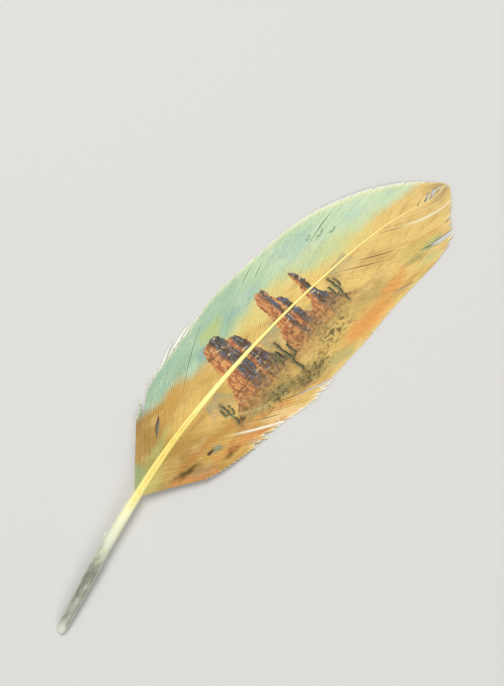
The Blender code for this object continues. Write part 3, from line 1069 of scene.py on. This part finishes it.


# %% [markdown]
# ## Washes of sky and sand
#
# The ground of the print is a wash: teal-green sky on the outer half of the wide vane, a pale
# yellow haze, then gold sand over the shaft and the narrow vane, with rust, olive and grey-green
# patches in it. A line given as a table marks the border of the sky. A patch is a row: its
# middle, its half width and half length, its turn, its colour and its strength. A streak's row has
# its two ends, its radius, its softness, its colour and its strength. A cloud is noise, and its row
# has how fine that is in both directions, the limits it is cut off at, its strength and its colour.

# %% The sky and the sand
SKY_BORDER = (
    (60, -36.5), (85, -34), (105, -31), (120, -28.5), (130, -27.5), (165, -27), (180, -23),
    (190, -18.6), (210, -16.5), (230, -12.5), (250, -9),
)
SKY_COLOURS = (
    (80, (170, 200, 168)), (125, (168, 200, 168)), (150, (170, 202, 168)), (172, (196, 219, 178)),
    (190, (192, 217, 180)), (212, (204, 226, 186)), (235, (208, 227, 186)),
    (250, (226, 233, 190)),
)
SAND_COLOURS = (
    (62, (190, 186, 122)), (74, (186, 154, 88)), (86, (178, 140, 68)), (98, (192, 152, 74)),
    (115, (214, 176, 92)), (160, (230, 196, 112)), (195, (240, 206, 122)), (250, (232, 200, 124)),
)
PATCHES = (
    (-26, 160, 6, 34, 0, (228, 214, 132), 0.75), (-19, 196, 7, 26, -14, (214, 216, 140), 0.6),
    (-35, 137, 4.6, 10, 6, (194, 206, 124), 0.75), (-31, 128, 3, 6, 20, (142, 176, 170), 0.6),
    (-32, 160, 3.5, 9, 10, (168, 200, 186), 0.4), (-30.5, 188, 4, 12, 10, (172, 204, 192), 0.4),
    (-23, 213, 3.5, 10, 12, (188, 218, 196), 0.4), (-18.5, 71, 6.5, 8, 14, (152, 176, 124), 0.85),
    (-31, 84, 7, 12, 20, (176, 138, 76), 0.6), (-19.5, 86, 2.6, 20, 10, (172, 172, 96), 0.7),
    (-12, 74, 5, 11, 0, (208, 200, 112), 0.7), (-9, 82, 6, 9, 0, (210, 176, 96), 0.7),
    (-28, 104, 5, 16, 14, (214, 166, 82), 0.6), (-19.5, 104, 6, 17, 4, (244, 206, 114), 0.6),
    (3, 106, 7, 22, -24, (228, 178, 94), 0.6), (0.8, 90, 3.6, 9, -24, (176, 146, 98), 0.8),
    (6, 116, 3.5, 9, -30, (214, 150, 84), 0.7), (-8.5, 112, 4.5, 15, -12, (244, 202, 120), 0.65),
    (1.8, 124.5, 2.4, 9, -34, (166, 170, 116), 0.65), (9, 114.5, 2, 7, -34, (178, 172, 128), 0.6),
    (11, 131, 4.4, 14, -24, (250, 214, 150), 0.85), (3, 136, 4.6, 13, -18, (140, 130, 82), 0.85),
    (8, 151, 4.5, 14, -8, (132, 116, 68), 0.85), (13, 166, 3.6, 12, -6, (190, 180, 116), 0.8),
    (11.6, 184, 5, 19, -4, (236, 164, 84), 0.85), (9.5, 201, 4, 14, 2, (232, 164, 84), 0.85),
    (5.2, 193, 3.8, 16, -6, (192, 164, 96), 0.75), (-3, 206, 4.6, 13, -16, (206, 168, 98), 0.7),
    (13.5, 205, 2, 14, -4, (200, 152, 78), 0.7), (6.5, 220, 4.6, 11, -10, (214, 188, 108), 0.8),
    (10.6, 226, 2.6, 8, -14, (174, 186, 124), 0.8), (14, 221, 2.6, 9, -10, (204, 200, 130), 0.8),
    (9.6, 216.5, 1.8, 7, -14, (156, 152, 96), 0.65), (-3, 234, 5, 10, 0, (236, 200, 120), 0.6),
    (-1.6, 244.5, 5, 8, 0, (190, 160, 98), 0.9), (-4, 86, 2.2, 10, -14, (108, 82, 28), 1),
    (-0.2, 102.4, 1.9, 4.4, -24, (150, 154, 118), 0.95),
    (-2, 99.6, 1.2, 2.3, -10, (66, 54, 30), 1), (4.9, 105.4, 1.9, 6.4, -14, (116, 88, 30), 0.9),
)
STREAKS = (
    ((-6.4, 84), (-5.4, 100.5), 0.2, 2.4, (200, 132, 60), 0.85),
    ((-5.4, 100.5), (-2.5, 113.6), 0.2, 2.6, (212, 144, 70), 0.85),
    ((-2.5, 113.6), (4.2, 121.6), 0.4, 2.8, (226, 152, 80), 0.85),
    ((2.2, 99), (7.4, 118), 0.5, 1.8, (226, 146, 76), 0.8),
    ((-5, 78.6), (5.4, 94.4), 1, 1.8, (222, 150, 84), 0.8),
    ((3.8, 124), (9.4, 138), 0.9, 1.8, (230, 152, 84), 0.7),
    ((9, 118), (12.6, 131), 0.5, 1.2, (206, 116, 60), 0.7),
    ((3, 116.5), (13.6, 132), 0.3, 1.2, (212, 138, 70), 0.55),
    ((0.6, 104), (10.5, 118.5), 0.3, 1.4, (216, 150, 84), 0.5),
    ((10.4, 141), (12.2, 151), 0.4, 1.3, (222, 146, 84), 0.6),
    ((10.5, 172), (14, 196), 0.3, 2.8, (244, 162, 80), 0.55),
    ((5.6, 178), (8.6, 196), 0.5, 1.8, (196, 156, 88), 0.5),
    ((0, 214), (9.2, 233), 0.3, 1.4, (226, 176, 96), 0.6),
    ((-9, 206), (-2, 224), 0.4, 1.8, (232, 192, 108), 0.6),
    ((-27, 188), (-15, 224), 0.8, 3, (226, 226, 160), 0.4),
)
SAND_CLOUDS = (
    (0.40, 0.12, 0.46, 0.72, 0.50, (184, 142, 76)),
    (0.22, 0.10, 0.50, 0.72, 0.50, (238, 208, 138)),
)
SKY_CLOUDS = (
    (0.20, 0.08, 0.46, 0.70, 0.45, (216, 228, 196)),
    (0.16, 0.07, 0.48, 0.70, 0.45, (146, 184, 176)),
)
WASH_START = 60.0
WASH_END = 250.0
SKY_BORDER_REACH = (-40.0, 0.0)
BORDER_SOFTNESS = 2.4
WASH_PUSHES = ((0.12, 5.0), (0.5, 1.2))


def sky_and_sand(tree, grid):
    soft = pushed(tree, grid, *WASH_PUSHES)
    spot = axes(tree, soft)
    stretch = (spot["Y"], WASH_START, WASH_END)
    sand = colour_along(tree, *stretch, SAND_COLOURS)
    sand = clouded(tree, sand, (grid, soft), SAND_CLOUDS)
    sky = colour_along(tree, *stretch, SKY_COLOURS)
    sky = clouded(tree, sky, (grid, soft), SKY_CLOUDS)
    border = height_along(tree, *stretch, *SKY_BORDER_REACH, SKY_BORDER, "AUTO")
    past_border = math_node(tree, "SUBTRACT", border, spot["X"])
    colour = blend(tree, ramp(tree, past_border, -BORDER_SOFTNESS, BORDER_SOFTNESS), sand, sky)
    for *where, hue, strength in PATCHES:
        colour = laid(tree, colour, hue, patch(tree, soft, *where), strength)
    return colour


print(len(PATCHES), "patches and", len(STREAKS), "streaks in the wash")

# %% [markdown]
# ## Buttes on the skyline
#
# The scene itself is a generic desert: far mesas in grey-green, two buttes and a spire in rust and
# brown, and a few cactuses and bushes. A skyline is a line drawn along the picture, and rock is
# whatever lies below it. Strata are noise stretched along the picture, flutes are noise stretched
# up it, and a second drawn line says which faces are in the sun.

# %% Far mesas and near buttes
FAR_SKYLINE = (
    (95, 8), (109.5, 9), (111.5, 15.5), (120.5, 16.5), (122.5, 12), (145.5, 11), (147.5, 17.5),
    (157, 18.5), (159, 13), (186, 10), (188, 14.5), (198, 15.5), (200, 10), (215, 8),
)
NEAR_SKYLINE = (
    (95, -4), (114, -1), (120, 4), (124, 11), (126.4, 18), (127.4, 29.5), (128.8, 32),
    (134.5, 33), (137.6, 32), (138.6, 27.5), (143.2, 26.5), (144.8, 17), (147.5, 9), (151.5, 4),
    (154.5, 8), (157.2, 15), (158.4, 28), (160.4, 31), (164.4, 30.5), (165.6, 24), (168, 22.5),
    (169.2, 12), (172, 8.5), (174.6, 12), (175.8, 25.5), (176.8, 27), (178.6, 24.5), (180.2, 12),
    (185, 4), (192, 0), (215, -4),
)
SUNLIT = (
    (95, 0.6), (125, 0.9), (131.5, 0.8), (133.5, 0.25), (138.5, 0.3), (139.5, 0.8), (141.5, 0.2),
    (150, 0.5), (158, 0.9), (161.5, 0.8), (163, 0.2), (165.5, 0.7), (167, 0.2), (174.6, 0.9),
    (176.4, 0.7), (177.8, 0.1), (183, 0.4), (215, 0.5),
)
PICTURE_WIDTH = (95.0, 215.0)
PICTURE_HEIGHT = (-5.0, 40.0)
FAR_MESAS = (FAR_SKYLINE, 0.4, (5.0, 17.0), 0.6)
NEAR_BUTTES = (NEAR_SKYLINE, 0.35, (-5.0, 5.0), 0.95)
FLUTES = (0.14, 0.9, 3.0)
IN_THE_SUN = (0.72, 1.26)
FALLEN_SAND = (2.0, 12.0, 0.70, 0.0)
FACE_DETAIL = 3.0
FACES = {
    "far": (0.14, 0.9, 0.44, 0.60, 0.8, (132, 146, 130), (196, 160, 106)),
    "shaded": (0.25, 0.7, 0.44, 0.58, 0.9, (70, 52, 40), (74, 100, 124)),
    "sunny": (0.30, 0.9, 0.42, 0.60, 0.9, (172, 98, 58), (232, 164, 98)),
    "fallen": (0.6, 0.6, 0.42, 0.60, 1.0, (196, 150, 90), (120, 88, 56)),
}
STRATA = (
    (1.1, 0.16, 0.54, 0.62, 0.7, 3.0, (88, 60, 44)),
    (0.9, 0.30, 0.60, 0.68, 0.7, 3.0, (240, 212, 160)),
)


def rocks(tree, colour, crisp):
    spot = axes(tree, crisp)
    across, up = spot["Y"], math_node(tree, "MULTIPLY", spot["X"], -1.0)

    def rising(skyline, softness, haze, most):
        """How much rock shows: all that is below its skyline, fading into haze at its foot."""
        line = height_along(tree, across, *PICTURE_WIDTH, *PICTURE_HEIGHT, skyline)
        below = ramp(tree, math_node(tree, "SUBTRACT", line, up), -softness, softness)
        return times(tree, below, ramp(tree, up, *haze), most)

    def face(title):
        *sizes, under, over = FACES[title]
        return laid(tree, paint(*under), over, cloud(tree, crisp, *sizes, FACE_DETAIL))

    colour = blend(tree, rising(*FAR_MESAS), colour, face("far"))
    sun = height_along(tree, across, *PICTURE_WIDTH, 0.0, 1.0, SUNLIT)
    sun = math_node(tree, "ADD", sun, streaky(tree, crisp, *FLUTES))
    rock = blend(tree, ramp(tree, sun, *IN_THE_SUN), face("shaded"), face("sunny"))
    rock = clouded(tree, rock, (crisp, crisp), STRATA)
    rock = blend(tree, ramp(tree, up, *FALLEN_SAND), rock, face("fallen"))
    return blend(tree, rising(*NEAR_BUTTES), colour, rock)


# %% [markdown]
# ## Plants, birds and streaks of ink
#
# A cactus is a few round-ended strokes, and so are a bird and a streak in the wash. The distance
# from a point to a stroke is a short piece of vector arithmetic, made once as a node group and
# used for every stroke.

# %% A stroke as a node group
def stroke_group():
    tree = bpy.data.node_groups.new("stroke_distance", "ShaderNodeTree")
    face = tree.interface
    for title in ("Place", "Start", "End"):
        face.new_socket(title, in_out="INPUT", socket_type="NodeSocketVector")
    face.new_socket("Distance", in_out="OUTPUT", socket_type="NodeSocketFloat")
    given = add(tree, "NodeGroupInput")

    def vector(operation, first, second, key="Vector"):
        return vector_math(tree, operation, {"Vector": first, "Vector_001": second}, key)

    offset = vector("SUBTRACT", given.outputs["Place"], given.outputs["Start"])
    span = vector("SUBTRACT", given.outputs["End"], given.outputs["Start"])
    along = vector("DOT_PRODUCT", offset, span, "Value")
    share = math_node(tree, "DIVIDE", along, vector("DOT_PRODUCT", span, span, "Value"))
    held = add(tree, "ShaderNodeClamp", {"Value": share}).outputs[0]
    nearest = vector_math(tree, "SCALE", {"Vector": span, "Scale": held})
    gap = vector_math(tree, "LENGTH", {"Vector": vector("SUBTRACT", offset, nearest)}, "Value")
    tree.links.new(gap, add(tree, "NodeGroupOutput").inputs[0])
    return tree


STROKE = stroke_group()
STREAK_PUSHES = ((0.16, 3.4), (0.9, 0.9))
STREAK_BREAKS = (0.55, 0.22, 0.36, 0.62, 1.0, 4.0, 0.35)


def strokes(tree, place_socket, rows, radius, softness):
    """1 on any of the strokes, which are given by the side and rise of both ends."""
    nearest = None
    for start, end in rows:
        made = add(tree, "ShaderNodeGroup", node_tree=STROKE)
        tree.links.new(place_socket, made.inputs["Place"])
        made.inputs["Start"].default_value = (*start, 0.0)
        made.inputs["End"].default_value = (*end, 0.0)
        here = made.outputs[0]
        nearest = here if nearest is None else math_node(tree, "MINIMUM", nearest, here)
    return ramp(tree, nearest, radius - softness / 2, radius + softness, 1.0, 0.0)


def streaks(tree, colour, grid):
    soft = pushed(tree, grid, *STREAK_PUSHES)
    broken = cloud(tree, grid, *STREAK_BREAKS)
    for start, end, radius, softness, hue, strength in STREAKS:
        mark = strokes(tree, soft, [(start, end)], radius, softness)
        colour = laid(tree, colour, hue, mark, broken, strength)
    return colour


# %% Cactuses, scrub and birds
CACTUSES = (
    (151, -4, 0.9, 1), (185.5, 0.5, 0.72, -1), (116.5, 1, 0.62, 1), (146.8, 2.6, 0.45, -1),
)
CACTUS_STROKES = (
    (0, 0, -0.3, 17), (0, 6.5, 2.9, 7.2), (2.9, 7.2, 3.3, 12.5), (0, 8.7, -2.7, 9.3),
    (-2.7, 9.3, -2.9, 14),
)
CACTUS_MARKS = (
    (0, 1, 1.5, 1.2, (112, 96, 56), 0.35),
    (0, 5, 0.62, 0.5, (58, 58, 44), 1.0),
    (0.42, 5, 0.16, 0.45, (166, 164, 104), 0.65),
)
BIRDS = ((198, 27, 0.8), (203, 24, 0.6), (193.5, 29.5, 0.55))
BIRD_STROKES = ((0, 0, -2.2, 1.1), (0, 0, 2.2, 1.3))
BIRD_MARK = (0.12, 0.4)
BIRD_COLOUR = (96, 92, 76)
BIRD_STRENGTH = 0.7
SCRUB = (
    (4, 136, 6, 17), (8, 154, 6.5, 18), (3.5, 172, 6, 15), (-1, 120, 4, 9),
)
SCRUB_CORE = 0.1
SCRUB_MARKS = (
    (0.75, 0.42, 0.47, 0.58, 0.85, (90, 76, 44)), (0.95, 0.70, 0.54, 0.64, 0.7, (188, 178, 112)),
)


def scaled_strokes(rows, across, up, size, way=1):
    """Strokes of a small drawing, moved to its place in the picture and turned onto the grid."""
    placed = []
    for start_across, start_up, end_across, end_up in rows:
        start = (-(up + size * start_up), across + way * size * start_across)
        end = (-(up + size * end_up), across + way * size * end_across)
        placed.append((start, end))
    return placed


def birds(tree, colour, crisp):
    wings = [stroke for bird in BIRDS for stroke in scaled_strokes(BIRD_STROKES, *bird)]
    mark = strokes(tree, crisp, wings, *BIRD_MARK)
    return laid(tree, colour, BIRD_COLOUR, mark, BIRD_STRENGTH)


def scrub(tree, colour, crisp):
    marks = [(cloud(tree, crisp, *sizes), hue) for *sizes, hue in SCRUB_MARKS]
    for row in SCRUB:
        within = patch(tree, crisp, *row, core=SCRUB_CORE)
        for amount, hue in marks:
            colour = laid(tree, colour, hue, within, amount)
    return colour


def cactuses(tree, colour, crisp):
    """Each has a soft shadow round its trunk, a dark body and a light line on its sunny side."""
    for across, up, size, way in CACTUSES:
        for shift, parts, radius, softness, hue, strength in CACTUS_MARKS:
            drawing = CACTUS_STROKES[:parts]
            rows = scaled_strokes(drawing, across - shift * size, up, size, way)
            mark = strokes(tree, crisp, rows, radius * size, softness)
            colour = laid(tree, colour, hue, mark, strength)
    return colour


print(len(CACTUSES), "cactuses,", len(SCRUB), "stretches of scrub and", len(BIRDS), "birds")

# %% [markdown]
# ## Ink on a feather
#
# Ink sits on the upper face only. It takes a little differently on each barb, fades to the bare
# feather at the very rim, and shows through faintly on the underside, which keeps the feather's
# own cream colour. The stored random value shades each barb, and the face's normal tells the two
# sides apart. Barbs have a soft sheen, so a little sheen and a fine fibrous bump finish the shader.
# A tone such as the painted seam shade is a pair: the limits of a ramp, and the paint that the ramp
# lays on.

# %% The vane's material
PICTURE_PUSH = (0.26, 2.2)
ROCK_PUSH = (0.9, 0.8)
PLANT_PUSH = (0.9, 0.3)
SLIP_ACROSS = 0.10
SLIP_ALONG = 0.22
NOISE_STEP = 40.0
BARBULES = (2.2, 4.0)
BLOTCH_SCALE = 0.30
DARKER_BARBS = ((-1.0, 0.6, 0.09, 0.0), (150, 120, 70))
BARBULE_MARKS = ((0.50, 0.75, 0.0, 0.14), (140, 112, 66))
BLOTCHES = ((0.50, 0.72, 0.0, 0.20), (176, 150, 104))
# Painted shade: the barbs darken towards their sides, as if shaded in the seams between them.
PAINTED_SEAM_SHADE = ((0.35, 1.0, 0.0, 0.55), (150, 132, 92))
HARDLY_DYED = (250, 236, 176)
UNDYED = ((0.25, 0.7), (244, 246, 228))
UNDERSIDE = ((-1.0, 1.0, 0.25, 0.45), (226, 212, 176))
UNDERSIDE_CREAM = (228, 214, 178)
CREAM_SHARE = 0.55
FACES_UP = (-0.15, 0.10)
VANE_SURFACE = {"Sheen Weight": 0.10, "Sheen Roughness": 0.4, "Specular IOR Level": 0.30}
VANE_BUMP = (0.30, 0.00006)
VANE_ROUGHNESS = (0.54, 0.70)
RELIEF_LIMITS = (0.3, 0.7)


def attribute(tree, title):
    return output(add(tree, "ShaderNodeAttribute", attribute_name=title), "Fac")


def printed_colour(tree, grid):
    coarse = pushed(tree, grid, PICTURE_PUSH)
    colour = sky_and_sand(tree, grid)
    colour = streaks(tree, colour, grid)
    colour = birds(tree, colour, coarse)
    colour = rocks(tree, colour, pushed(tree, coarse, ROCK_PUSH))
    inked = pushed(tree, coarse, PLANT_PUSH)
    return cactuses(tree, scrub(tree, colour, inked), inked)


def toned(tree, colour, value, limits, hue, mode="MULTIPLY"):
    """The colour with a paint over it, as much as the value has gone through its limits."""
    return blend(tree, ramp(tree, value, *limits), colour, paint(*hue), mode)


def close_shader(tree, shader, colour, relief, bump, rough):
    """Link the colour, and a bump and a roughness that come from one relief."""
    strength, distance = bump
    raised = {"Height": relief, "Strength": strength, "Distance": distance}
    links = {
        "Base Color": colour,
        "Normal": add(tree, "ShaderNodeBump", raised).outputs[0],
        "Roughness": ramp(tree, relief, *RELIEF_LIMITS, *rough),
    }
    for title, socket in links.items():
        tree.links.new(socket, shader.inputs[title])


def vane_material():
    material, shader = principled("printed_vane", VANE_SURFACE)
    tree = material.node_tree
    shade = attribute(tree, "shade")
    slip = add(tree, "ShaderNodeCombineXYZ", {"X": SLIP_ACROSS, "Y": SLIP_ALONG}).outputs[0]
    slipped = vector_math(tree, "SCALE", {"Vector": slip, "Scale": shade})
    grid = vector_math(tree, "ADD", {"Vector": grid_place(tree), "Vector_001": slipped})
    colour = printed_colour(tree, grid)
    colour = toned(tree, colour, shade, *DARKER_BARBS)

    barb_number = math_node(tree, "MULTIPLY", shade, NOISE_STEP)
    on_the_barb = {"X": attribute(tree, "along"), "Y": barb_number}
    on_the_barb = add(tree, "ShaderNodeCombineXYZ", on_the_barb).outputs[0]
    barbules = noise(tree, on_the_barb, *BARBULES)
    colour = toned(tree, colour, barbules, *BARBULE_MARKS, "MIX")
    colour = toned(tree, colour, noise(tree, on_the_barb, BLOTCH_SCALE), *BLOTCHES)
    # Painted shade in the seams: darker towards each barb's sides.
    colour = toned(tree, colour, attribute(tree, "to_side"), *PAINTED_SEAM_SHADE)
    undyed = attribute(tree, "undyed")
    bare = toned(tree, paint(*HARDLY_DYED), undyed, *UNDYED, "MIX")
    colour = blend(tree, undyed, colour, bare)

    upright = axes(tree, output(add(tree, "ShaderNodeNewGeometry"), "Normal"))["Z"]
    below = toned(tree, colour, shade, *UNDERSIDE, "MIX")
    below = laid(tree, below, UNDERSIDE_CREAM, CREAM_SHARE)
    colour = blend(tree, ramp(tree, upright, *FACES_UP), below, colour)
    close_shader(tree, shader, colour, barbules, VANE_BUMP, VANE_ROUGHNESS)
    return material


VANE_FINISH = vane_material()
print(len(VANE_FINISH.node_tree.nodes), "nodes in the print")

# %% [markdown]
# ## Horn, clear and yellow
#
# The quill is thin horn. Its lower third is clear enough to look grey-green and mottled, where the
# dried pith shows through. Further up it turns cream, and from the vanes on it is stained yellow
# by the print, with an orange line in the groove. A ramp along the rise gives the change, four
# noises give the mottling, and a little subsurface scattering gives the depth of horn.

# %% The shaft's material
QUILL_COLOURS = (
    (0, (226, 230, 214)), (4, (210, 214, 196)), (7, (170, 172, 156)), (20, (160, 160, 140)),
    (31, (154, 156, 134)), (37, (204, 206, 174)), (43, (226, 228, 200)), (51, (234, 234, 198)),
    (59, (248, 246, 198)), (67, (250, 238, 146)), (92, (246, 226, 122)), (120, (252, 244, 156)),
    (150, (252, 236, 138)), (200, (252, 234, 146)), (248, (250, 226, 150)),
)
CLEAR_PART_END = (35.0, 45.0)
CLEAR_PART_START = (1.5, 5.0)
MOTTLES = (
    (0.26, 0.13, 0.42, 0.62, 0.75, (112, 116, 102)),
    (0.40, 0.16, 0.52, 0.66, 0.60, (196, 198, 180)),
    (0.9, 0.30, 0.56, 0.70, 0.40, (132, 108, 78)),
    (1.2, 0.40, 0.60, 0.72, 0.35, (226, 226, 208)),
)
QUILL_REACH = (0.0, 250.0)
GROOVE_STAIN_REACH = (50.0, 120.0)
GROOVE_STAIN = ((52, (248, 228, 132)), (80, (236, 188, 70)))
GROOVE_STAIN_START = (52.0, 66.0)
GROOVE_STAIN_END = (104.0, 114.0)
GROOVE_STAIN_BREAKS = (0.7, 0.30, 0.34, 0.60, 1.0, 4.0, 0.45)
FLANK = (0.62, 0.98, 0.0, 0.6)
FLANK_COLOUR = (212, 216, 202)
HORN_PUSH = (0.30, 5.0)
HORN_GRAIN = (3.0, 0.35)
HORN_BUMP = (0.35, 0.00012)
HORN_ROUGHNESS = (0.34, 0.50)
HORN_SURFACE = {
    "Subsurface Weight": 0.12,
    "Subsurface Radius": (0.9, 0.7, 0.4),
    "Subsurface Scale": 0.001,
    "Coat Weight": 0.15,
    "Coat Roughness": 0.25,
}


def groove_line(tree, colour, grid, rise):
    """The stain in the groove: pale yellow where it starts, then orange, broken by noise."""
    start = ramp(tree, rise, *GROOVE_STAIN_START)
    end = ramp(tree, rise, *GROOVE_STAIN_END, 1.0, 0.0)
    broken = cloud(tree, grid, *GROOVE_STAIN_BREAKS)
    amount = times(tree, attribute(tree, "groove"), times(tree, start, end), broken)
    stain = colour_along(tree, rise, *GROOVE_STAIN_REACH, GROOVE_STAIN)
    return blend(tree, amount, colour, stain)


def shaft_material():
    material, shader = principled("horn_shaft", HORN_SURFACE)
    tree = material.node_tree
    grid = grid_place(tree)
    rise = axes(tree, pushed(tree, grid, HORN_PUSH))["Y"]
    colour = colour_along(tree, rise, *QUILL_REACH, QUILL_COLOURS)
    clear = ramp(tree, rise, *CLEAR_PART_END, 1.0, 0.0)
    clear = times(tree, clear, ramp(tree, rise, *CLEAR_PART_START))
    colour = clouded(tree, colour, [grid] * len(MOTTLES), MOTTLES, clear)
    flank = ramp(tree, attribute(tree, "to_flank"), *FLANK)
    colour = laid(tree, colour, FLANK_COLOUR, flank, clear)
    colour = groove_line(tree, colour, grid, rise)
    grain = streaky(tree, grid, *HORN_GRAIN)
    close_shader(tree, shader, colour, grain, HORN_BUMP, HORN_ROUGHNESS)
    return material


SHAFT_FINISH = shaft_material()
shaft.data.materials.append(SHAFT_FINISH)
print(len(SHAFT_FINISH.node_tree.nodes), "nodes in the horn")

# %% [markdown]
# ## Grow the two vanes
#
# With paths, tree and finish ready, each vane takes one call, and so do the loose barbs.

# %% Grow the barbs
BARB_TREE = barb_tree()
wide_vane = grown("wide_vane", wide_strands, BARB_TREE, VANE_FINISH)
short_vane = grown("short_vane", short_strands, BARB_TREE, VANE_FINISH)
loose_barbs = grown("loose_barbs", loose_strands, BARB_TREE, VANE_FINISH, LOOSE_RIDGE_HEIGHT)
for vane_piece in (wide_vane, short_vane, loose_barbs):
    print(vane_piece.name, "has", len(vane_piece.data.polygons), "faces")

# %% [markdown]
# ## Hand the pieces over
#
# Every piece rides on the one body, and the one solid is hidden.

# %% Ride on the body and hide the solid
PIECES = ((shaft, "quill"), (wide_vane, "vane"), (short_vane, "vane"), (loose_barbs, "vane"))
for piece, slot_name in PIECES:
    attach(piece, "root")
    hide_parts("feather")

# %% Finish
bpy.context.view_layer.update()
